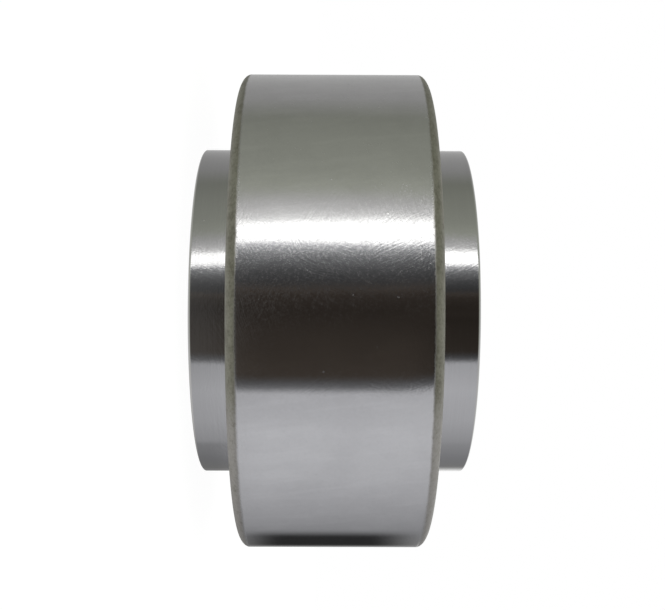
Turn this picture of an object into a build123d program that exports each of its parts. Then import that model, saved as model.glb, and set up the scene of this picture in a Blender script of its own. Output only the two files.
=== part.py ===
from build123d import *
import os

# Sealed ball insert bearing with a cylindrical outer ring and an inner ring extended on both sides.
# Lengths are in millimetres. The bearing's axis is Z and the origin is at its centre.

# Boundary sizes
bore_d = 45.0
outer_d = 85.0
outer_w = 32.6
inner_w = 46.4

# Balls and raceways
ball_share = 0.635  # ball diameter over the section between bore and outer diameter
ball_count = 9
ball_play = 0.04  # radial gap between a ball and each raceway
groove_slack = 0.25  # raceway groove radius over the ball's radius
inner_shoulder_share = 0.244  # height of the inner ring's land over its raceway, in ball diameters
outer_shoulder_share = 0.189  # depth of the outer ring's raceway under its land, in ball diameters
shoulder_break = 0.2  # rounding where a raceway meets its land

# Ring edges
corner_axial = 1.8  # outer ring corner, a quarter of an ellipse
corner_radial = 3.0
end_axial = 0.5  # inner ring corner, the same form
end_radial = 1.0
bore_chamfer = 0.8
seat_chamfer = 0.3

# Ball cage, pressed from ribbon and riveted between the balls
cage_sheet = 1.0
cage_band_share = 0.36  # radial width of the ribbon, in ball diameters
pocket_play = 0.15
pocket_root = 0.4  # rounding where a pocket rises from the flat ribbon
rivet_d = 2.0
rivet_hole_play = 0.02
rivet_head_d = 3.2
rivet_head_h = 0.9
rivet_head_round = 0.6

# Seals, stacked against a shoulder in each end of the outer ring
seat_step = 1.7  # seat radius over the land's radius
fit_play = 0.02  # radial gap between a seated seal piece and the outer ring
shroud_recess = 0.8  # from the outer ring's face to the shroud
shroud_height = 3.2
shroud_sheet = 1.0
shroud_bend = 0.6  # inside radius of the shroud's bend
shroud_gap = 0.9  # to the inner ring's land
snap_height = 1.0  # flared rim of the shroud, held in a groove of the seat
snap_depth = 0.35
snap_play = 0.1
rim_thickness = 1.0  # rubber clamped between shroud and washer
washer_thickness = 0.8
washer_gap = 1.6  # to the inner ring's land
lip_count = 3
lip_reach = 2.2  # from the inner ring's land to the wall that carries the lips
lip_wall = 1.4
lip_root = 0.7
lip_tip = 0.3
lip_lean = 0.6
lip_pitch = 1.0
lip_inset = 0.1
lip_gap = 0.08  # running gap to the inner ring's land

# Radii and heights that follow
bore_r = bore_d / 2
outer_r = outer_d / 2
outer_half = outer_w / 2
inner_half = inner_w / 2
ball_d = ball_share * (outer_r - bore_r)
ball_r = ball_d / 2
pitch_r = (bore_r + outer_r) / 2
groove_r = ball_r + groove_slack
inner_track_r = pitch_r - ball_r - ball_play
outer_track_r = pitch_r + ball_r + ball_play
inner_land_r = inner_track_r + inner_shoulder_share * ball_d
outer_land_r = outer_track_r - outer_shoulder_share * ball_d
pocket_r = ball_r + pocket_play
cup_r = pocket_r + cage_sheet
cage_inner_r = pitch_r - cage_band_share * ball_d / 2
cage_outer_r = pitch_r + cage_band_share * ball_d / 2
seat_r = outer_land_r + seat_step
seated_r = seat_r - fit_play
shroud_top = outer_half - shroud_recess
shroud_foot = shroud_top - shroud_height
rubber_foot = shroud_foot - rim_thickness
seat_floor = rubber_foot - washer_thickness

# A corner takes at most 0.7 of the wall behind it
corner_depth = min(corner_radial, (outer_r - seat_r) * 0.7)


def section(inner_radius, outer_radius, low, high, mode=Mode.ADD):
    """Rectangle in a ring's half section: radius along the sketch's x, height along its y."""
    with Locations(((inner_radius + outer_radius) / 2, (low + high) / 2)):
        Rectangle(outer_radius - inner_radius, high - low, mode=mode)


def round_ends(radius, half_width, radial, axial):
    """Round the two outer corners of a half section to quarter ellipses."""
    for side in (-1, 1):
        corner_z = side * (half_width - axial)
        section(radius - radial, radius, *sorted((corner_z, side * half_width)), Mode.SUBTRACT)
        with Locations((radius - radial, corner_z)):
            Ellipse(radial, axial)


def end_circles(builder, near_axis):
    """The smallest or largest circular edge on each end face of a turned piece."""
    levels = builder.edges().filter_by(GeomType.CIRCLE).group_by(Axis.Z)
    pick = 0 if near_axis else -1
    return [level.sort_by(SortBy.RADIUS)[pick] for level in (levels[0], levels[-1])]


def land_circles(builder, radius):
    """The two circular edges where a raceway meets a land of this radius."""
    circles = builder.edges().filter_by(GeomType.CIRCLE)
    on_land = circles.filter_by(lambda edge: abs(edge.radius - radius) < fit_play)
    return on_land.sort_by(lambda edge: abs(edge.center().Z))[:2]


def save(builder, name):
    """Label a finished piece and write it to its own file."""
    builder.part.label = name
    export_step(builder.part, f"parts/{name}.step")


os.makedirs("parts", exist_ok=True)

# Outer ring
with BuildPart() as outer_ring:
    with BuildSketch(Plane.XZ):
        section(outer_land_r, outer_r, -outer_half, outer_half)
        round_ends(outer_r, outer_half, corner_depth, corner_axial)
        with Locations((outer_track_r - groove_r, 0)):
            Circle(groove_r, mode=Mode.SUBTRACT)
        for side in (-1, 1):
            seat_span = sorted((side * seat_floor, side * outer_half))
            snap_span = sorted((side * shroud_foot, side * (shroud_foot + snap_height + snap_play)))
            section(pitch_r, seat_r, *seat_span, Mode.SUBTRACT)
            section(pitch_r, seat_r + snap_depth + snap_play, *snap_span, Mode.SUBTRACT)
    revolve(axis=Axis.Z)
    chamfer(end_circles(outer_ring, near_axis=True), seat_chamfer)
    fillet(land_circles(outer_ring, outer_land_r), shoulder_break)
save(outer_ring, "outer_ring")

# Inner ring
with BuildPart() as inner_ring:
    with BuildSketch(Plane.XZ):
        section(bore_r, inner_land_r, -inner_half, inner_half)
        round_ends(inner_land_r, inner_half, end_radial, end_axial)
        with Locations((inner_track_r + groove_r, 0)):
            Circle(groove_r, mode=Mode.SUBTRACT)
    revolve(axis=Axis.Z)
    chamfer(end_circles(inner_ring, near_axis=True), bore_chamfer)
    fillet(land_circles(inner_ring, inner_land_r), shoulder_break)
save(inner_ring, "inner_ring")

# Balls
for index, spot in enumerate(PolarLocations(pitch_r, ball_count)):
    with BuildPart(Plane(spot)) as ball:
        Sphere(ball_r)
    save(ball, f"ball_{index + 1}")

# Ball cage: two mirrored halves that meet at the plane of the ball centres
half_step = 180 / ball_count
root_r = (cup_r**2 - cage_sheet**2) ** 0.5
with BuildPart() as cup:
    with BuildSketch(Plane.XZ) as cup_profile:
        Circle(cup_r)
        Rectangle(root_r + 2 * pocket_root, cage_sheet, align=(Align.MIN, Align.MIN))
        Rectangle(2 * cup_r, 2 * cup_r, align=(Align.MIN, Align.MIN), mode=Mode.INTERSECT)
        fillet(cup_profile.vertices().sort_by_distance((root_r, cage_sheet))[0], pocket_root)
    revolve(axis=Axis.Z)

with BuildPart() as cage_half_upper:
    with BuildSketch():
        Circle(cage_outer_r)
    extrude(amount=cage_sheet)
    with PolarLocations(pitch_r, ball_count):
        add(cup.part)
    with BuildSketch():
        Circle(cage_outer_r)
        Circle(cage_inner_r, mode=Mode.SUBTRACT)
    extrude(amount=ball_d, mode=Mode.INTERSECT)
    with PolarLocations(pitch_r, ball_count):
        Sphere(pocket_r, mode=Mode.SUBTRACT)
    with PolarLocations(pitch_r, ball_count, start_angle=half_step):
        Cylinder(rivet_d / 2 + rivet_hole_play, 4 * cage_sheet, mode=Mode.SUBTRACT)
save(cage_half_upper, "cage_half_upper")

with BuildPart() as cage_half_lower:
    mirror(cage_half_upper.part, about=Plane.XY)
save(cage_half_lower, "cage_half_lower")

# Rivets, one midway between each pair of balls
for index, spot in enumerate(PolarLocations(pitch_r, ball_count, start_angle=half_step)):
    with BuildPart(Plane(spot)) as rivet:
        Cylinder(rivet_d / 2, 2 * cage_sheet)
        with Locations((0, 0, cage_sheet + rivet_head_h / 2), (0, 0, -cage_sheet - rivet_head_h / 2)):
            Cylinder(rivet_head_d / 2, rivet_head_h)
        fillet(end_circles(rivet, near_axis=False), rivet_head_round)
    save(rivet, f"rivet_{index + 1}")

# Seal washers
with BuildPart() as seal_washer_upper:
    with BuildSketch(Plane.XZ):
        section(inner_land_r + washer_gap, seated_r, seat_floor, rubber_foot)
    revolve(axis=Axis.Z)
save(seal_washer_upper, "seal_washer_upper")

with BuildPart() as seal_washer_lower:
    mirror(seal_washer_upper.part, about=Plane.XY)
save(seal_washer_lower, "seal_washer_lower")

# Seals: a clamped rim, a wall under the shroud, and lips that lean outwards onto the inner ring
lip_wall_r = inner_land_r + lip_reach
lip_tip_r = inner_land_r + lip_gap
with BuildPart() as seal_upper:
    with BuildSketch(Plane.XZ):
        section(lip_wall_r, seated_r, rubber_foot, shroud_foot)
        section(lip_wall_r, lip_wall_r + lip_wall, rubber_foot, shroud_top - shroud_sheet)
        for index in range(lip_count):
            root_z = rubber_foot + lip_inset + index * lip_pitch
            root_r = lip_wall_r + lip_wall / 2
            Polygon(
                (root_r, root_z),
                (root_r, root_z + lip_root),
                (lip_wall_r, root_z + lip_root),
                (lip_tip_r, root_z + lip_lean + lip_tip),
                (lip_tip_r, root_z + lip_lean),
                (lip_wall_r, root_z),
                align=None,
            )
    revolve(axis=Axis.Z)
save(seal_upper, "seal_upper")

with BuildPart() as seal_lower:
    mirror(seal_upper.part, about=Plane.XY)
save(seal_lower, "seal_lower")

# Seal shrouds: pressed caps whose flared rim snaps into the seat's groove
with BuildPart() as seal_shroud_upper:
    with BuildSketch(Plane.XZ):
        Polygon(
            (seated_r + snap_depth, shroud_foot),
            (seated_r, shroud_foot + snap_height),
            (seated_r, shroud_top),
            (inner_land_r + shroud_gap, shroud_top),
            (inner_land_r + shroud_gap, shroud_top - shroud_sheet),
            (seated_r - shroud_sheet, shroud_top - shroud_sheet),
            (seated_r - shroud_sheet, shroud_foot),
            align=None,
        )
    revolve(axis=Axis.Z)
    shroud_levels = seal_shroud_upper.edges().filter_by(GeomType.CIRCLE).group_by(Axis.Z)
    fillet(shroud_levels[-2].sort_by(SortBy.RADIUS)[-1], shroud_bend)
    fillet(end_circles(seal_shroud_upper, near_axis=False)[1], shroud_bend + shroud_sheet)
save(seal_shroud_upper, "seal_shroud_upper")

with BuildPart() as seal_shroud_lower:
    mirror(seal_shroud_upper.part, about=Plane.XY)
save(seal_shroud_lower, "seal_shroud_lower")
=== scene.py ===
"""Looks for a sealed ball insert bearing: rings with unground corners, seals, balls, cage and studio."""

import math

import bmesh
import bpy
from mathutils import Matrix, Vector


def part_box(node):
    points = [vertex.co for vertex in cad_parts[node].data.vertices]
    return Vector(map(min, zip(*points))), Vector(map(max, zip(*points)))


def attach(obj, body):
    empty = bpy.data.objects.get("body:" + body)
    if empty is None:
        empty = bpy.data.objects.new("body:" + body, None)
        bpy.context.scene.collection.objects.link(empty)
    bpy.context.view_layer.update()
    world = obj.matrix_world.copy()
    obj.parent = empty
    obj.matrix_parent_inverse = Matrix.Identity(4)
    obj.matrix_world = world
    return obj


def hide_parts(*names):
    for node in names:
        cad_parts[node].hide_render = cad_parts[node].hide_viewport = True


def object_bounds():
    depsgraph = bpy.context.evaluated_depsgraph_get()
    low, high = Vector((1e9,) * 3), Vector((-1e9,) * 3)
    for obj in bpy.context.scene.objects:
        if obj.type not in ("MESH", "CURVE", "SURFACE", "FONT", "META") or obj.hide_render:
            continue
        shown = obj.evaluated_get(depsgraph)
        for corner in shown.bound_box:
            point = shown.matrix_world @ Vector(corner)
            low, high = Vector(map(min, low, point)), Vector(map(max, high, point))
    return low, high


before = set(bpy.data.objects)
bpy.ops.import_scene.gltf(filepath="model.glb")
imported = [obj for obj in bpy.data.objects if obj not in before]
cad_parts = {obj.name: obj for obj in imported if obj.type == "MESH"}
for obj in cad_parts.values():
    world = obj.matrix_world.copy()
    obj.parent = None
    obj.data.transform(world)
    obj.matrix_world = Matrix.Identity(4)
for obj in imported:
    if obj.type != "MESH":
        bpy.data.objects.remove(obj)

bl_info = {
    "name": "Insert bearing",
    "version": (1, 0, 0),
    "blender": (4, 5, 0),
    "location": "3D View > Sidebar > Bearing",
    "description": "Finishes a sealed ball insert bearing and its studio around a fixed frame",
    "category": "Object",
}

ENDS = ("upper", "lower")
CAD_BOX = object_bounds()
OUTER_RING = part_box("outer_ring")[1]
INNER_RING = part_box("inner_ring")[1]
SHROUD_LOW, SHROUD_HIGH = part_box("seal_shroud_upper")
WASHER_LOW, WASHER_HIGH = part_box("seal_washer_upper")
BALL_LOW, BALL_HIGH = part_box("ball_1")
PITCH_RADIUS = (BALL_LOW.x + BALL_HIGH.x) / 2
BALL_RADIUS = BALL_HIGH.z

# Mesh of the turned rings
CORNER_STEPS = 20
END_STEPS = 14
GROOVE_STEPS = 14
SHARP_EDGE = math.radians(28)
MERGE_DISTANCE = 1e-7

# Finishes, in metres: the depth of one unit of relief, and how far the edge of the corners' scale wanders
RELIEF = 0.00001
RAGGED_EDGE = 0.0004
# Leans of the sets of grinding strokes, in degrees from the way round the ring, and their seeds
STROKE_LEANS = (24, -62, 8, 66, -20)
STROKE_PATCHES = 110  # cells to the metre
# Handling nicks: cells to the metre, size as a share of a cell, and the share of cells kept
NICKS = (560, 0.13, 0.10)
# Colour of the dullest ground steel, over that of the brightest
DULL_SHARE = 0.82

# Stage, in metres
FLOOR_HALF = 2.0
LAMP_SIZE = 0.35
LAMP_PLACE = (-0.42, -0.08, -0.05)
CAMERA_HEIGHT = -0.00125
CAMERA_TARGET = (-0.00103, 0.0, -0.00016)

# Colours of the stage
WHITE = (1.0, 1.0, 1.0)
BLACK = (0.0, 0.0, 0.0)
PAPER = (0.8, 0.8, 0.8)
FLOOR_HAZE = (0.27, 0.27, 0.27)
FLOOR_STRENGTH = 1.115
TINTS = {
    "plain": (1.0, 1.0, 1.0),
    "warm": (1.20, 0.98, 0.82),
    "olive": (0.99, 1.03, 0.90),
    "cool": (0.983, 0.992, 1.045),
    "blue": (0.98, 1.0, 1.04),
}

# Over this lean along the axis a ray goes over to the room beside the bearing's ends
END_LEAN = (0.08, 0.10)
# Half of the soft edge of the strip light, in radians
STRIP_EDGE = 0.01
# Angles downwards from the camera: the band under the bearing, the shade at the foot of both ends, the well
# in front of the upper end, and the white backdrop low beside that end. A middle is in radians. A reach gives
# in degrees where its step begins and ends, from the middle if there is one.
UNDER_MIDDLE = math.radians(143.5)
UNDER_REACH = (7.5, 19)
FOOT_REACH = (102, 107.5)
WELL_MIDDLE = math.radians(18.5)
WELL_REACH = (17, 12.5)
BACKDROP_REACH = (142, 163)
# Brightness of what the ends face on the camera's side, over that of what they face behind
FRONT_SHARE = 0.64

# What the steel mirrors, by the angle about the bearing's axis, upwards from the camera:
# degrees, brightness and tint
STUDIO_ZONES = (
    (-180, 1.00, "plain"),
    (-166, 0.34, "plain"),
    (-150, 0.27, "plain"),
    (-128, 0.345, "cool"),
    (-83, 0.67, "cool"),
    (-58, 0.745, "cool"),
    (-37, 0.625, "cool"),
    (-36.2, 0.24, "cool"),
    (-33, 0.112, "cool"),
    (-30, 0.052, "warm"),
    (-12, 0.040, "warm"),
    (0, 0.027, "warm"),
    (8.3, 0.038, "warm"),
    (9.6, 0.098, "warm"),
    (11.2, 0.042, "blue"),
    (18, 0.088, "blue"),
    (24, 0.225, "blue"),
    (28, 0.50, "blue"),
    (30, 0.80, "cool"),
    (42, 1.10, "plain"),
    (46, 0.81, "plain"),
    (51, 0.60, "plain"),
    (57, 0.46, "olive"),
    (66, 0.385, "olive"),
    (101, 0.275, "olive"),
    (118, 0.385, "plain"),
    (160, 0.50, "plain"),
    (180, 1.00, "plain"),
)


def length(name, description, default):
    """A size in metres, shown in the scene's own units."""
    return bpy.props.FloatProperty(
        name=name, description=description, default=default, min=0.0, max=1.0, unit="LENGTH", precision=5
    )


def angle(name, description, degrees):
    """An angle, kept in radians."""
    return bpy.props.FloatProperty(
        name=name,
        description=description,
        default=math.radians(degrees),
        min=-math.pi,
        max=math.pi,
        subtype="ANGLE",
    )


def share(name, description, default, high=1.0):
    """A plain factor."""
    return bpy.props.FloatProperty(name=name, description=description, default=default, min=0.0, max=high)


def colour(name, description, default):
    """A linear colour."""
    return bpy.props.FloatVectorProperty(
        name=name, description=description, default=default, subtype="COLOR", size=3, min=0.0, max=1.0
    )


class BearingShape(bpy.types.PropertyGroup):
    """Sizes of the two rings that the frame's boxes don't give."""

    corner_axial: length("Corner width", "Outer ring corner, along the axis", 0.0018)
    corner_radial: length("Corner depth", "Outer ring corner, across the axis", 0.0030)
    seat_chamfer: length("Seat chamfer", "Chamfer at the mouth of each seal seat", 0.0003)
    seat_play: length("Seat play", "Radial gap round a seated seal washer", 0.00002)
    snap_play: length("Snap play", "Radial gap over the shroud's flared rim", 0.00012)
    snap_height: length("Snap groove", "Height of the groove that holds the shroud", 0.0011)
    outer_land: length("Outer land", "Radius of the outer ring's land", 0.03649)
    bore_radius: length("Bore radius", "Radius of the inner ring's bore", 0.0225)
    bore_chamfer: length("Bore chamfer", "Chamfer at each end of the bore", 0.0008)
    end_axial: length("End width", "Inner ring corner, along the axis", 0.0005)
    end_radial: length("End depth", "Inner ring corner, across the axis", 0.0010)
    ball_play: length("Ball play", "Radial gap between a ball and each raceway", 0.00004)
    groove_slack: length("Groove slack", "Raceway groove radius over the ball's radius", 0.00025)
    hold: length("Hold", "Distance of the loops that keep flat faces flat beside a rounding", 0.0002)
    steps: bpy.props.IntProperty(
        name="Steps", description="Steps round each turned ring", default=288, min=24
    )


class BearingFinish(bpy.types.PropertyGroup):
    """Colours and roughnesses of the finishes."""

    ground_steel: colour("Ground steel", "Ground faces of the outer ring", (0.610, 0.606, 0.600))
    # Painted shade: the inner ring's steel is a darker copy of the outer ring's, for the dimmer light on the
    # inner ring
    inner_steel_shaded: colour("Inner steel, shaded", "Ground and honed faces of the inner ring", (0.525, 0.522, 0.517))
    corner_scale: colour("Corner scale", "Unground corners of the outer ring", (0.285, 0.280, 0.232))
    corner_stain: colour("Corner stain", "Darker flecks on those corners", (0.190, 0.182, 0.146))
    # Painted reflection: the corners' colour towards +X, standing for the pale part of the room that they
    # face
    corner_room_reflection: colour("Corner reflection", "Painted reflection of the pale room, paler and greyer on the corners towards +X", (0.400, 0.385, 0.365))
    ball_steel: colour("Ball steel", "Polished balls", (0.720, 0.720, 0.730))
    cage_steel: colour("Cage steel", "Pressed ball cage", (0.500, 0.500, 0.490))
    rivet_steel: colour("Rivet steel", "Cold headed rivets", (0.580, 0.570, 0.550))
    shroud_steel: colour("Shroud steel", "Pressed seal shrouds", (0.550, 0.550, 0.540))
    washer_steel: colour("Washer steel", "Flat seal washers", (0.500, 0.500, 0.490))
    seal_rubber: colour("Seal rubber", "Nitrile rubber of the seals", (0.030, 0.030, 0.030))
    ground_roughness: share("Ground roughness", "Least roughness of the outer ring's ground face", 0.06)
    ground_haze: share("Ground haze", "Roughness that the duller grains of that face add", 0.135)
    honed_roughness: share("Honed roughness", "Least roughness of the inner ring's faces", 0.05)
    corner_roughness: share("Corner roughness", "Roughness of the unground corners", 0.48)


class BearingStudio(bpy.types.PropertyGroup):
    """Light round the bearing and the camera in front of it."""

    strip_angle: angle("Strip angle", "Angle of the strip light over the camera", 35.8)
    strip_half: angle("Strip half width", "Half of the strip light's width", 4.85)
    strip_level: share("Strip level", "Brightness of the strip light", 2.6, 10.0)
    side_level: share("Side level", "Brightness along the bearing's axis", 0.76, 10.0)
    strip_flare: angle("Strip flare", "How much wider the strip light gets along the bearing", 1.6)
    end_shift: angle("End shift", "How far the studio's cards seem to move beside the bearing's ends", 5.0)
    end_tilt: angle("End tilt", "How much higher the strip light is beside the upper end than the lower", 2.0)
    end_drop: angle("End drop", "How much lower the strip light is beside both ends", 0.4)
    under_shade: share("Under shade", "How dark the band under the bearing is", 0.90)
    floor_haze: share("Floor haze", "Light that the floor throws over the lower end's view", 0.22)
    floor_glow: share("Floor glow", "How much of the pale floor is free of shade", 0.86)
    lamp_power: share("Lamp power", "Soft lamp over the bearing, in watts", 0.8, 100.0)
    camera_distance: length("Camera distance", "From the bearing's axis", 0.19975)
    camera_roll: angle("Camera roll", "Turn of the camera about its line of sight", 0.2)
    camera_lens: bpy.props.FloatProperty(
        name="Camera lens", description="Focal length in millimetres", default=58.7, min=1.0, unit="CAMERA"
    )


class Wire:
    """A shader socket that takes Python's arithmetic: each step adds one Math node."""

    def __init__(self, finish, socket):
        self.finish = finish
        self.socket = socket

    def __add__(self, other):
        return self.finish.math("ADD", self, other)

    __radd__ = __add__

    def __sub__(self, other):
        return self.finish.math("SUBTRACT", self, other)

    def __rsub__(self, other):
        return self.finish.math("SUBTRACT", other, self)

    def __mul__(self, other):
        return self.finish.math("MULTIPLY", self, other)

    def __truediv__(self, other):
        return self.finish.math("DIVIDE", self, other)

    def __pow__(self, other):
        return self.finish.math("POWER", self, other)

    def __abs__(self):
        return self.finish.math("ABSOLUTE", self)

    def either(self, other):
        return self.finish.math("MAXIMUM", self, other)

    def step(self, low, high):
        """0 at low, 1 at high, eased between them and level beyond. High may be the lower number."""
        settings = {"interpolation_type": "SMOOTHSTEP", "clamp": True}
        return self.finish.node("ShaderNodeMapRange", settings, {0: self, 1: low, 2: high, 3: 0.0, 4: 1.0})

    def sweep(self, low, high):
        """A step of an angle, between two others in degrees."""
        return self.step(math.radians(low), math.radians(high))


class Finish:
    """A node tree, from a material or the world, that is filled node by node."""

    def __init__(self, tree):
        self.tree = tree
        tree.nodes.clear()

    def node(self, kind, settings=None, sockets=None, out=0):
        """Add a node, with its settings first and then its sockets' values or links, and return an output."""
        node = self.tree.nodes.new(kind)
        for name, value in (settings or {}).items():
            if name == "stops":
                self.set_stops(node.color_ramp, value)
            else:
                setattr(node, name, value)
        for name, value in (sockets or {}).items():
            if isinstance(value, Wire):
                self.tree.links.new(value.socket, node.inputs[name])
            else:
                node.inputs[name].default_value = value
        return Wire(self, node.outputs[out]) if node.outputs else node

    @staticmethod
    def set_stops(ramp, stops):
        """Give a colour ramp its stops: place and colour."""
        while len(ramp.elements) < len(stops):
            ramp.elements.new(1.0)
        for element, (place, value) in zip(ramp.elements, stops):
            element.position = place
            element.color = (*value, 1.0)

    def math(self, operation, *values):
        """A Math node on one or two values."""
        return self.node("ShaderNodeMath", {"operation": operation}, dict(enumerate(values)))

    def place(self, kind="Object"):
        """The point on the piece as x, y, z and the distance from the axis."""
        point = self.node("ShaderNodeTexCoord", out=kind)
        split = self.node("ShaderNodeSeparateXYZ", sockets={0: point})
        axes = [Wire(self, split.socket.node.outputs[index]) for index in range(3)]
        radius = (axes[0] ** 2 + axes[1] ** 2) ** 0.5
        return (*axes, radius)

    def around(self, x, y, radius):
        """Length round the piece, from its front."""
        return self.math("ARCTAN2", x, 0 - y) * radius

    def noise(self, x, y, z, detail=2.0, rough=0.5):
        """Soft noise at a point that is already in cells, from 0 to 1."""
        point = self.node("ShaderNodeCombineXYZ", sockets={0: x, 1: y, 2: z})
        sockets = {"Vector": point, "Scale": 1.0, "Detail": detail, "Roughness": rough}
        return self.node("ShaderNodeTexNoise", {"noise_dimensions": "3D"}, sockets)

    def specks(self, x, y, z, cells, size, kept):
        """Small round marks: cells to the metre, size as a share of a cell, and the share of cells kept."""
        point = self.node("ShaderNodeCombineXYZ", sockets={0: x * cells, 1: y * cells, 2: z * cells})
        sockets = {"Vector": point, "Scale": 1.0}
        cell = self.node("ShaderNodeTexVoronoi", {"feature": "F1"}, sockets, "Distance")
        tone = Wire(self, cell.socket.node.outputs["Color"])
        pick = self.node("ShaderNodeSeparateColor", sockets={0: tone})
        return (1 - cell.step(size * 0.4, size)) * pick.step(1 - kept, 1 - kept * 0.8)

    def tint(self, factor, first, second):
        """Two colours mixed by a factor: all of the first at 0, all of the second at 1."""
        first, second = ((*value, 1.0) if not isinstance(value, Wire) else value for value in (first, second))
        sockets = {0: factor, 6: first, 7: second}
        return self.node("ShaderNodeMix", {"data_type": "RGBA"}, sockets, out=2)

    def bump(self, height):
        """A normal from a height in units of RELIEF."""
        return self.node("ShaderNodeBump", sockets={"Height": height, "Distance": RELIEF, "Strength": 1.0})

    def surface(self, sockets):
        """The material's own shader."""
        shader = self.node("ShaderNodeBsdfPrincipled", sockets=sockets)
        self.node("ShaderNodeOutputMaterial", sockets={"Surface": shader})


def new_finish(name):
    """A material of this name and the tree to fill."""
    material = bpy.data.materials.new(name)
    material.use_nodes = True
    return material, Finish(material.node_tree)


def scaled(tint, factor):
    """A colour times a factor."""
    return [factor * value for value in tint]


def handled(x, low, high):
    """How much handling shows: all of it on the side of -X, and three tenths on the side of +X."""
    return 0.3 + (0 - x).step(low, high) * 0.7


def strokes(finish, around, z, radius):
    """Grinding strokes that fan and cross in patches: their height, about 0, and how much each line is rough.

    They fade out at the back, where the length round the piece jumps.
    """
    seam = (abs(around) / radius).step(2.8, 3.1)
    patch_around = around * STROKE_PATCHES
    patch_height = z * STROKE_PATCHES
    bend = finish.noise(patch_around, patch_height, 3.0, detail=1.0) * 0.004
    height = 0.0
    rough = 0.0
    for seed in STROKE_LEANS:
        lean = math.radians(seed)
        along = around * math.cos(lean) + z * math.sin(lean)
        across = z * math.cos(lean) - around * math.sin(lean) + bend
        line = finish.noise(along * 260, across * 3400, seed, detail=1.0)
        patch = finish.noise(patch_around, patch_height, seed + 0.5, detail=1.0).step(0.44, 0.62)
        height = (line - 0.5) * patch + height
        rough = line.step(0.56, 0.80) * patch + rough
    return height * (1 - seam), rough * (1 - seam)


def outer_ring_finish():
    """Ground steel whose two corners keep the rough, olive scale of turning and hardening.

    The noises are scaled by their cells to the metre.
    """
    look = bpy.context.scene.bearing_finish
    shape = bpy.context.scene.bearing_shape
    material, finish = new_finish("outer_ring_steel")
    x, y, z, radius = finish.place()
    around = finish.around(x, y, radius)
    stroke, hair = strokes(finish, around, z, radius)
    cloud = finish.noise(x * 160, y * 160, z * 160, detail=4.0, rough=0.6)
    mottle = finish.noise(x * 1500, y * 1500, z * 1500, detail=4.0, rough=0.75)
    grain = finish.noise(x * 3000, y * 3000, z * 3000, detail=3.0, rough=0.7)
    nick = finish.specks(x, y, z, *NICKS)
    smear = finish.noise(around * 520 + z * 70, z * 75, radius * 75, detail=2.0).step(0.50, 0.74)
    grit = finish.noise(x * 2400, y * 2400, z * 2400, detail=3.0, rough=0.6)
    blotch = finish.noise(x * 520, y * 520, z * 700, detail=3.0, rough=0.65)
    turning = finish.noise(x * 60, y * 60, z * 5200, detail=1.0)
    ragged = finish.noise(x * 700, y * 700, z * 240, detail=4.0, rough=0.7) - 0.5
    worn = handled(x, -0.007, 0.003)

    # The scale covers the corners up to a ragged edge, and grinding leaves a burr beside it
    edge = OUTER_RING.z - shape.corner_axial
    rim = OUTER_RING.x - shape.corner_radial
    past_edge = abs(z) - edge + ragged * RAGGED_EDGE
    reach = radius + ragged * RAGGED_EDGE
    scale = past_edge.step(-0.00012, 0.00034) * reach.step(rim - 0.00005, rim + 0.00020)
    beside_edge = 1 - abs(past_edge + 0.0001).step(0.00006, 0.00016)
    burr = beside_edge * grit.step(0.40, 0.60) * abs(x + 0.0155).step(0.010, 0.006)

    # Colour of the ground face, and of the scale with its brown flecks and, towards +X, a painted reflection
    # of the pale room that turns it paler and greyer
    pale = mottle * 0.4 + cloud.step(0.36, 0.66) * 0.25 - smear * 0.22
    ground = finish.tint(pale, look.ground_steel, scaled(look.ground_steel, DULL_SHARE))
    brown = grit.step(0.42, 0.62) * 0.5 + blotch.step(0.45, 0.64) * 0.6 - 0.05
    stained = finish.tint(brown, look.corner_scale, look.corner_stain)
    # Painted reflection of the pale room: the scale turns paler and greyer towards +X, patchy with the grit
    # and blotches
    room_reflection = x.step(0.010, 0.019) * (1.05 - grit.step(0.46, 0.62) * 0.35 - blotch.step(0.50, 0.70) * 0.35)
    unground = finish.tint(room_reflection, stained, look.corner_room_reflection)

    # Roughness and relief of both
    haze = grain.step(0.38, 0.66) * worn * look.ground_haze
    smooth = look.ground_roughness + haze + hair * worn * 0.10 + nick * 0.15 + burr * 0.16
    turned = look.corner_roughness + grit * 0.10
    ground_relief = stroke * worn * 0.6 + mottle * worn * 0.75 + nick * worn * 0.9
    turned_relief = grit + turning * 0.5 - 0.4
    finish.surface(
        {
            "Base Color": finish.tint(scale, ground, unground),
            "Metallic": 1 - scale * 0.15,
            "Roughness": smooth + scale * (turned - smooth),
            "Normal": finish.bump((1 - scale) * ground_relief + scale * turned_relief),
        }
    )
    return material


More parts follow.
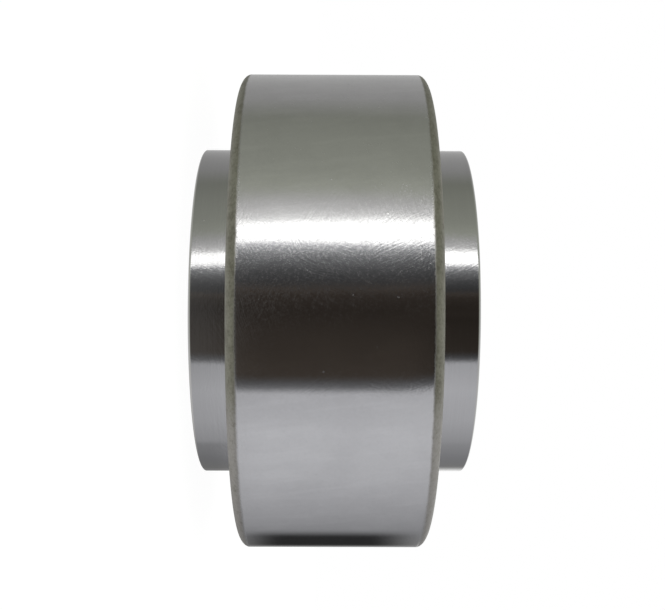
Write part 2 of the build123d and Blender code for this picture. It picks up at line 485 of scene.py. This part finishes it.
def inner_ring_finish():
    """Ground steel, set darker than the outer ring's as painted shade, with the fine lines of its grinding
    wheel round it, and small bright handling marks.
    """
    look = bpy.context.scene.bearing_finish
    material, finish = new_finish("inner_ring_steel")
    x, y, z, radius = finish.place()
    around = finish.around(x, y, radius)
    stroke, hair = strokes(finish, around, z, radius)
    cloud = finish.noise(x * 150, y * 150, z * 150, detail=3.0)
    mottle = finish.noise(x * 1900, y * 1900, z * 1900, detail=3.0, rough=0.7)
    nick = finish.specks(x, y, z, *NICKS)
    lines = finish.noise(x * 70, y * 70, z * 3600, detail=2.0, rough=0.6)
    rings = finish.noise(x * 70, y * 70, radius * 3600, detail=2.0, rough=0.6)
    faces = abs(z).step(INNER_RING.z - 0.00004, INNER_RING.z - 0.00002)
    grain = lines + faces * (rings - lines)
    haze = finish.noise(x * 3000, y * 3000, z * 3000, detail=3.0, rough=0.7).step(0.38, 0.66)
    worn = handled(x, -0.005, 0.002)
    # Painted shade: the inner ring's darker steel colour stands for the dimmer light on it
    dull = scaled(look.inner_steel_shaded, DULL_SHARE)
    smooth = look.honed_roughness + grain.step(0.35, 0.75) * 0.05 + haze * worn * 0.07
    finish.surface(
        {
            "Base Color": finish.tint(cloud * 0.35 + grain * 0.30, look.inner_steel_shaded, dull),
            "Metallic": 1.0,
            "Roughness": smooth + hair * 0.06 + nick * 0.2,
            "Normal": finish.bump(grain * 0.22 + stroke * 0.3 + mottle * worn * 0.8 + nick * 0.8),
        }
    )
    return material


def pressed_finish(name, base, roughness):
    """Pressed or rolled sheet steel: soft mottling and a fine grain."""
    material, finish = new_finish(name)
    x, y, z, radius = finish.place()
    cloud = finish.noise(x * 120, y * 120, z * 120, detail=4.0)
    fine = finish.noise(radius * 3600, x * 180, y * 180, detail=2.0)
    marks = finish.specks(x, y, z, 420, 0.18, 0.12)
    finish.surface(
        {
            "Base Color": finish.tint(cloud.step(0.35, 0.70), scaled(base, 0.90), base),
            "Metallic": 1.0,
            "Roughness": roughness + cloud * 0.10 + marks * 0.2,
            "Normal": finish.bump(fine * 0.5 + cloud * 0.5),
        }
    )
    return material


def polished_finish(name, base, roughness):
    """Lapped balls and headed rivets: nearly clean, with a breath of oil."""
    material, finish = new_finish(name)
    x, y, z, _ = finish.place()
    film = finish.noise(x * 300, y * 300, z * 300, detail=3.0)
    finish.surface(
        {
            "Base Color": finish.tint(film.step(0.35, 0.75), base, scaled(base, 0.95)),
            "Metallic": 1.0,
            "Roughness": roughness + film * 0.06,
        }
    )
    return material


def rubber_finish():
    """Matt moulded rubber with a slight bloom and the mould's fine texture."""
    look = bpy.context.scene.bearing_finish
    material, finish = new_finish("moulded_rubber")
    x, y, z, _ = finish.place()
    bloom = finish.noise(x * 260, y * 260, z * 260, detail=4.0)
    skin = finish.noise(x * 4200, y * 4200, z * 4200, detail=2.0)
    finish.surface(
        {
            "Base Color": finish.tint(bloom.step(0.4, 0.8), look.seal_rubber, scaled(look.seal_rubber, 2.0)),
            "Roughness": 0.55 + bloom * 0.2,
            "Specular IOR Level": 0.45,
            "Normal": finish.bump(skin),
        }
    )
    return material


class Section:
    """Upper half of a ring's section, a wire in the plane y = 0 from the middle plane and back to it."""

    def __init__(self, radius):
        self.mesh = bmesh.new()
        self.pen = self.mesh.verts.new((radius, 0.0, 0.0))

    def line(self, radius, height):
        """Draw straight to a point."""
        vert = self.mesh.verts.new((radius, 0.0, height))
        self.mesh.edges.new((self.pen, vert))
        self.pen = vert

    def arc(self, radius, height, degrees, steps, stretch=1.0):
        """Turn about a centre, outwards to upwards for a positive angle, then stretch the arc's height."""
        centre = Vector((radius, 0.0, height))
        drawn = set(self.mesh.verts)
        made = bmesh.ops.spin(
            self.mesh,
            geom=[self.pen],
            cent=centre,
            axis=(0, 1, 0),
            angle=math.radians(-degrees),
            steps=steps,
            use_merge=False,
        )
        fresh = [vert for vert in self.mesh.verts if vert not in drawn]
        bmesh.ops.scale(self.mesh, verts=fresh, vec=(1.0, 1.0, stretch), space=Matrix.Translation(-centre))
        self.pen = next(item for item in made["geom_last"] if isinstance(item, bmesh.types.BMVert))

    def turn(self, name, steps):
        """Mirror the wire about the middle plane and spin it into a ring."""
        mesh = self.mesh
        bmesh.ops.mirror(mesh, geom=mesh.verts[:] + mesh.edges[:], merge_dist=MERGE_DISTANCE, axis="Z")
        bmesh.ops.spin(
            mesh,
            geom=mesh.verts[:] + mesh.edges[:],
            cent=(0, 0, 0),
            axis=(0, 0, 1),
            angle=math.tau,
            steps=steps,
            use_merge=True,
        )
        bmesh.ops.remove_doubles(mesh, verts=mesh.verts[:], dist=MERGE_DISTANCE)
        bmesh.ops.recalc_face_normals(mesh, faces=mesh.faces[:])
        for face in mesh.faces:
            face.smooth = True
        for edge in mesh.edges:
            edge.smooth = edge.calc_face_angle(0.0) < SHARP_EDGE
        data = bpy.data.meshes.new(name)
        mesh.to_mesh(data)
        mesh.free()
        piece = bpy.data.objects.new(name, data)
        bpy.context.scene.collection.objects.link(piece)
        return piece


def stand_in(piece, material, node, body):
    """Finish a new piece and let it stand for its CAD node."""
    piece.data.materials.append(material)
    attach(piece, body)
    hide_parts(node)


def dress(nodes, material):
    """Give CAD nodes a finish."""
    for node in nodes:
        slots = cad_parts[node].data.materials
        slots.clear()
        slots.append(material)


class BEARING_OT_outer_ring(bpy.types.Operator):
    """Turn the outer ring, with its raceway, seal seats and rounded corners"""

    bl_idname = "bearing.outer_ring"
    bl_label = "Outer ring"

    def execute(self, context):
        shape = context.scene.bearing_shape
        groove = BALL_RADIUS + shape.groove_slack
        track = PITCH_RADIUS + BALL_RADIUS + shape.ball_play
        mouth = math.acos((shape.outer_land - track + groove) / groove)
        seat = WASHER_HIGH.x + shape.seat_play
        snap = SHROUD_HIGH.x + shape.snap_play
        snap_top = SHROUD_LOW.z + shape.snap_height
        corner = OUTER_RING.z - shape.corner_axial
        side = OUTER_RING.x - shape.corner_radial
        section = Section(OUTER_RING.x)
        section.line(OUTER_RING.x, corner - shape.hold)
        section.line(OUTER_RING.x, corner)
        section.arc(side, corner, 90, CORNER_STEPS, stretch=shape.corner_axial / shape.corner_radial)
        section.line(side - shape.hold, OUTER_RING.z)
        section.line(seat + shape.seat_chamfer, OUTER_RING.z)
        section.line(seat, OUTER_RING.z - shape.seat_chamfer)
        section.line(seat, snap_top)
        section.line(snap, snap_top)
        section.line(snap, SHROUD_LOW.z)
        section.line(seat, SHROUD_LOW.z)
        section.line(seat, WASHER_LOW.z)
        section.line(shape.outer_land, WASHER_LOW.z)
        section.line(shape.outer_land, groove * math.sin(mouth))
        section.arc(track - groove, 0.0, -math.degrees(mouth), GROOVE_STEPS)
        ring = section.turn("outer_ring_ground", shape.steps)
        stand_in(ring, outer_ring_finish(), "outer_ring", "outer")
        return {"FINISHED"}


class BEARING_OT_inner_ring(bpy.types.Operator):
    """Turn the inner ring, with its raceway, bore and rounded ends"""

    bl_idname = "bearing.inner_ring"
    bl_label = "Inner ring"

    def execute(self, context):
        shape = context.scene.bearing_shape
        groove = BALL_RADIUS + shape.groove_slack
        track = PITCH_RADIUS - BALL_RADIUS - shape.ball_play
        mouth = math.acos((track + groove - INNER_RING.x) / groove)
        corner = INNER_RING.z - shape.end_axial
        face = INNER_RING.x - shape.end_radial
        bore = shape.bore_radius
        section = Section(track)
        section.arc(track + groove, 0.0, -math.degrees(mouth), GROOVE_STEPS)
        section.line(INNER_RING.x, corner - shape.hold)
        section.line(INNER_RING.x, corner)
        section.arc(face, corner, 90, END_STEPS, stretch=shape.end_axial / shape.end_radial)
        section.line(face - shape.hold, INNER_RING.z)
        section.line(bore + shape.bore_chamfer, INNER_RING.z)
        section.line(bore, INNER_RING.z - shape.bore_chamfer)
        section.line(bore, 0.0)
        ring = section.turn("inner_ring_ground", shape.steps)
        stand_in(ring, inner_ring_finish(), "inner_ring", "inner")
        return {"FINISHED"}


class BEARING_OT_seals(bpy.types.Operator):
    """Finish the shrouds, rubber seals and washers at both ends"""

    bl_idname = "bearing.seals"
    bl_label = "Seals"

    def execute(self, context):
        look = context.scene.bearing_finish
        shroud_steel = pressed_finish("pressed_shroud", look.shroud_steel, 0.30)
        washer_steel = pressed_finish("rolled_washer", look.washer_steel, 0.36)
        dress([f"seal_shroud_{end}" for end in ENDS], shroud_steel)
        dress([f"seal_washer_{end}" for end in ENDS], washer_steel)
        dress([f"seal_{end}" for end in ENDS], rubber_finish())
        return {"FINISHED"}


class BEARING_OT_rolling_set(bpy.types.Operator):
    """Finish the balls and the cage that carries them"""

    bl_idname = "bearing.rolling_set"
    bl_label = "Balls and cage"

    def execute(self, context):
        look = context.scene.bearing_finish
        balls = [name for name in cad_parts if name.startswith("ball_")]
        rivets = [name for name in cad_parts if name.startswith("rivet_")]
        dress(balls, polished_finish("lapped_ball", look.ball_steel, 0.05))
        dress(rivets, polished_finish("headed_rivet", look.rivet_steel, 0.24))
        dress([f"cage_half_{end}" for end in ENDS], pressed_finish("pressed_cage", look.cage_steel, 0.28))
        return {"FINISHED"}


class BEARING_OT_stage(bpy.types.Operator):
    """Set out the pale floor, the studio light and the camera"""

    bl_idname = "bearing.stage"
    bl_label = "Stage"

    def execute(self, context):
        studio = context.scene.bearing_studio
        self.light_studio(context.scene, studio)
        self.lay_floor(context.scene, studio)
        self.hang_lamp(context.scene, studio)
        self.stand_camera(context.scene, studio)
        return {"FINISHED"}

    def light_studio(self, scene, studio):
        """The room that the steel mirrors, in zones about the bearing's axis. The camera sees plain white."""
        scene.world = bpy.data.worlds.new("studio")
        scene.world.use_nodes = True
        room = Finish(scene.world.node_tree)
        x, y, z, _ = room.place("Generated")
        turn = room.math("ARCTAN2", 0 - x, 0 - y)
        down = 0 - turn
        ends = abs(z).step(*END_LEAN)
        upper = z.step(-0.07, 0.07)
        rise = upper - 0.5

        # Cards, which seem to close in on the strip light beside the ends
        over_strip = (turn - studio.strip_angle).sweep(-8, 10)
        shift = over_strip * 0.6 - (1 - over_strip) * (0.2 + upper * 0.2)
        moved = turn + shift * ends * studio.end_shift
        stops = [((degrees + 180) / 360, scaled(TINTS[tint], level)) for degrees, level, tint in STUDIO_ZONES]
        zones = room.node("ShaderNodeValToRGB", {"stops": stops}, {"Fac": moved / math.tau + 0.5})

        # Shades under the bearing, at the foot of both ends and in front of the upper end
        off_under = abs(down - UNDER_MIDDLE).sweep(*UNDER_REACH)
        under = (1 - off_under) * (1 - abs(z).step(0.04, 0.10)) * studio.under_shade
        foot = down.sweep(*FOOT_REACH) * ends * (0.26 - upper * 0.19)
        well = abs(down - WELL_MIDDLE).sweep(*WELL_REACH) * ends * upper * 0.28
        shaded = room.tint(under.either(foot).either(well), zones, BLACK)

        # Strip light, which tilts beside the ends and widens towards the upper one
        tilted = (rise * studio.end_tilt - studio.end_drop) * ends
        off_strip = abs(turn - studio.strip_angle - tilted) - rise * (1 - ends) * studio.strip_flare
        strip = 1 - off_strip.step(studio.strip_half - STRIP_EDGE, studio.strip_half + STRIP_EDGE)
        bright = room.tint(strip, shaded, scaled(WHITE, studio.strip_level))

        # Haze from the floor beside the lower end, and the white backdrop low beside the upper end
        hazed = room.tint((0 - z).step(0.07, 0.12) * studio.floor_haze, bright, FLOOR_HAZE)
        lit = room.tint(down.sweep(*BACKDROP_REACH) * z.step(*END_LEAN), hazed, WHITE)

        # Along the axis the room is even, dimmer on the camera's side and paler towards the lower end
        front = turn.sweep(-75, -25) * (1 - turn.sweep(130, 178))
        front_side = scaled(TINTS["olive"], studio.side_level * FRONT_SHARE)
        side = room.tint(front, scaled(WHITE, studio.side_level), front_side)
        paled = room.tint((0 - z).step(0.0, 0.3) * 0.20, side, WHITE)
        around = room.tint(abs(z).step(0.30, 0.80), lit, paled)

        # Plain white for the camera and through clear things
        seen = room.node("ShaderNodeLightPath", out="Is Camera Ray")
        passed = room.node("ShaderNodeLightPath", out="Is Transmission Ray")
        backdrop = room.tint(seen.either(passed), around, WHITE)
        shader = room.node("ShaderNodeBackground", sockets={"Color": backdrop})
        room.node("ShaderNodeOutputWorld", sockets={"Surface": shader})

    def lay_floor(self, scene, studio):
        """A pale floor that carries a soft shade. The steel mirrors the room through it."""
        sheet = bmesh.new()
        bmesh.ops.create_grid(sheet, x_segments=1, y_segments=1, size=FLOOR_HALF)
        bmesh.ops.translate(sheet, verts=sheet.verts[:], vec=(0.0, 0.0, CAD_BOX[0].z))
        data = bpy.data.meshes.new("floor")
        sheet.to_mesh(data)
        sheet.free()
        floor = bpy.data.objects.new("floor", data)
        scene.collection.objects.link(floor)
        material, finish = new_finish("pale_floor")
        paper = finish.node("ShaderNodeBsdfDiffuse", sockets={"Color": (*PAPER, 1.0)})
        glow = finish.node("ShaderNodeEmission", sockets={"Color": (*WHITE, 1.0), "Strength": FLOOR_STRENGTH})
        seen = finish.node("ShaderNodeLightPath", out="Is Camera Ray")
        mirrored = finish.node("ShaderNodeLightPath", out="Is Glossy Ray")
        lit = finish.node("ShaderNodeMixShader", sockets={0: seen * studio.floor_glow, 1: paper, 2: glow})
        clear = finish.node("ShaderNodeBsdfTransparent")
        both = finish.node("ShaderNodeMixShader", sockets={0: mirrored, 1: lit, 2: clear})
        finish.node("ShaderNodeOutputMaterial", sockets={"Surface": both})
        data.materials.append(material)

    def hang_lamp(self, scene, studio):
        """A large soft lamp over the bearing as the camera sees it, a little nearer than the bearing."""
        light = bpy.data.lights.new("soft_lamp", "AREA")
        light.shape = "DISK"
        light.size = LAMP_SIZE
        light.energy = studio.lamp_power
        lamp = bpy.data.objects.new("soft_lamp", light)
        lamp.location = LAMP_PLACE
        lamp.rotation_euler = (-lamp.location).to_track_quat("-Z", "Y").to_euler()
        lamp.visible_glossy = False
        scene.collection.objects.link(lamp)

    def stand_camera(self, scene, studio):
        """Level with the bearing and turned on its side, so that the axis lies across the picture."""
        data = bpy.data.cameras.new("camera")
        data.lens = studio.camera_lens
        data.clip_start = 0.01
        camera = bpy.data.objects.new("camera", data)
        place = Vector((0.0, -studio.camera_distance, CAMERA_HEIGHT))
        ahead = (Vector(CAMERA_TARGET) - place).normalized()
        up = Vector((0.0, 0.0, 1.0)).cross(ahead).normalized()
        across = ahead.cross(up)
        turned = Matrix((across, up, -ahead)).transposed().to_4x4()
        camera.matrix_world = Matrix.Translation(place) @ turned @ Matrix.Rotation(studio.camera_roll, 4, "Z")
        scene.collection.objects.link(camera)
        scene.camera = camera
        scene.view_settings.view_transform = "Standard"


class BEARING_PT_bearing(bpy.types.Panel):
    """Sizes, finishes and steps of the bearing"""

    bl_idname = "BEARING_PT_bearing"
    bl_label = "Insert bearing"
    bl_space_type = "VIEW_3D"
    bl_region_type = "UI"
    bl_category = "Bearing"

    def draw(self, context):
        for group in ("bearing_shape", "bearing_finish", "bearing_studio"):
            settings = getattr(context.scene, group)
            box = self.layout.box()
            for name in settings.__annotations__:
                box.prop(settings, name)
        for operator in OPERATORS:
            self.layout.operator(operator.bl_idname)


OPERATORS = (
    BEARING_OT_outer_ring,
    BEARING_OT_inner_ring,
    BEARING_OT_seals,
    BEARING_OT_rolling_set,
    BEARING_OT_stage,
)
CLASSES = (BearingShape, BearingFinish, BearingStudio, *OPERATORS, BEARING_PT_bearing)


def register():
    for kind in CLASSES:
        bpy.utils.register_class(kind)
    bpy.types.Scene.bearing_shape = bpy.props.PointerProperty(type=BearingShape)
    bpy.types.Scene.bearing_finish = bpy.props.PointerProperty(type=BearingFinish)
    bpy.types.Scene.bearing_studio = bpy.props.PointerProperty(type=BearingStudio)


def unregister():
    del bpy.types.Scene.bearing_studio
    del bpy.types.Scene.bearing_finish
    del bpy.types.Scene.bearing_shape
    for kind in reversed(CLASSES):
        bpy.utils.unregister_class(kind)


def main():
    register()
    bpy.ops.bearing.outer_ring()
    bpy.ops.bearing.inner_ring()
    bpy.ops.bearing.seals()
    bpy.ops.bearing.rolling_set()
    bpy.ops.bearing.stage()


if __name__ == "__main__":
    main()
